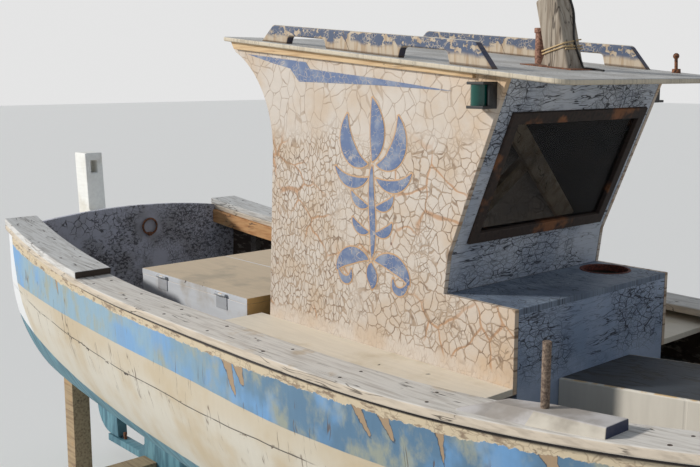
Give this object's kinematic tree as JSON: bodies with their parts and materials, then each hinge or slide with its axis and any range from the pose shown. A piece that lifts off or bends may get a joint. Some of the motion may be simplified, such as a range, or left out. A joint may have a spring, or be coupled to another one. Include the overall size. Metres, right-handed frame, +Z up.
{
  "type": "wooden fishing boat with wheelhouse on ground chocks",
  "caption": "Open wooden inshore fishing boat with a raked-front wheelhouse, engine box, rudder and propeller, standing ashore on timber chocks.",
  "frame": {"origin": "on the ground, under the middle of the length and breadth", "axes": "+X towards the bow, +Y to port, +Z up"},
  "size_m": [5.57, 1.692, 2.3867],
  "materials": {
    "topside_paint": "cream paint on planks, chalky and flaking",
    "bottom_paint": "teal bottom paint, worn",
    "stem_paint": "worn paint on oak",
    "grey_wood": "weathered grey and white",
    "dark_wood": "dark crackled paint on wood",
    "head_paint": "white paint, worn smooth",
    "rudder_paint": "worn paint on wood",
    "orange_wood": "bare orange wood",
    "inner_paint": "grey paint, worn",
    "deck_paint": "cream paint, dirty",
    "cabin_paint": "cream paint with brown craquelure",
    "casing_paint": "off-white paint, worn",
    "rim_paint": "dark red-brown",
    "roof_paint": "weathered grey-white",
    "blue_paint": "slate blue paint, chipped",
    "box_paint": "pale blue-grey and tan paint, flaking",
    "raw_timber": "rough sawn",
    "pane": "clear, dusty",
    "lamp_black": "black",
    "red_lens": "red",
    "green_lens": "dark green",
    "rusty_iron": "rusted",
    "cast_engine": "painted grey-green",
    "bronze": "dull bronze",
    "shaft_steel": "dull"
  },
  "bodies": {
    "hull": {"topside_port": "topside_paint", "topside_starboard": "topside_paint", "bottom_planking": "bottom_paint", "keel": "bottom_paint", "stem": "stem_paint", "gunwale_cap_port": "grey_wood", "gunwale_cap_starboard": "grey_wood", "quarter_caps": "grey_wood", "thole_pads": "grey_wood", "transom": "dark_wood", "window_frame": "dark_wood", "mast": "dark_wood", "inwales": "orange_wood", "ribs": "inner_paint", "cockpit_sole": "inner_paint", "bulkheads": "inner_paint", "engine_beds": "inner_paint", "side_decks": "deck_paint", "well_deck": "deck_paint", "foredeck": "deck_paint", "hatch_trunk": "deck_paint", "cab_side_port": "cabin_paint", "cab_side_starboard": "cabin_paint", "casing_front": "cabin_paint", "wheelhouse_front": "cabin_paint", "casing_top": "casing_paint", "casing_rim": "rim_paint", "cab_roof": "roof_paint", "grab_rails": "blue_paint", "engine_box": "box_paint", "window_braces": "raw_timber", "cradles": "raw_timber", "window_glass": "pane", "side_light_housings": "lamp_black", "lens_red": "red_lens", "lens_green": "green_lens", "mast_plate": "rusty_iron", "vent_pipe": "rusty_iron", "thole_pins": "rusty_iron", "transom_ring": "rusty_iron", "lid_hinges": "rusty_iron", "rudder_gudgeons": "rusty_iron", "engine": "cast_engine", "stern_tube": "bronze"},
    "rudder": {"rudder_stock": "head_paint", "rudder_blade": "rudder_paint", "rudder_pintles": "rusty_iron"},
    "screw": {"propeller": "bronze", "shaft": "shaft_steel"},
    "port_lid": {"lid_port": "box_paint"},
    "starboard_lid": {"lid_starboard": "box_paint"}
  },
  "joints": [
    {"name": "rudder_turn", "type": "hinge", "parent": "hull", "child": "rudder", "pos_m": [-2.416, 0, 0.118], "axis": [-0.0732, 0, 0.9973], "range_deg": [-35, 35]},
    {"name": "screw_turn", "type": "hinge", "parent": "hull", "child": "screw", "pos_m": [-2.29, 0, 0.4], "axis": [0.9877, 0, 0.1564], "continuous": true},
    {"name": "port_lid_open", "type": "hinge", "parent": "hull", "child": "port_lid", "pos_m": [-1, 0.4363, 1.299], "axis": [-1, 0, 0], "range_deg": [0, 150]},
    {"name": "starboard_lid_open", "type": "hinge", "parent": "hull", "child": "starboard_lid", "pos_m": [-1, -0.4363, 1.299], "axis": [1, 0, 0], "range_deg": [0, 150]}
  ]
}
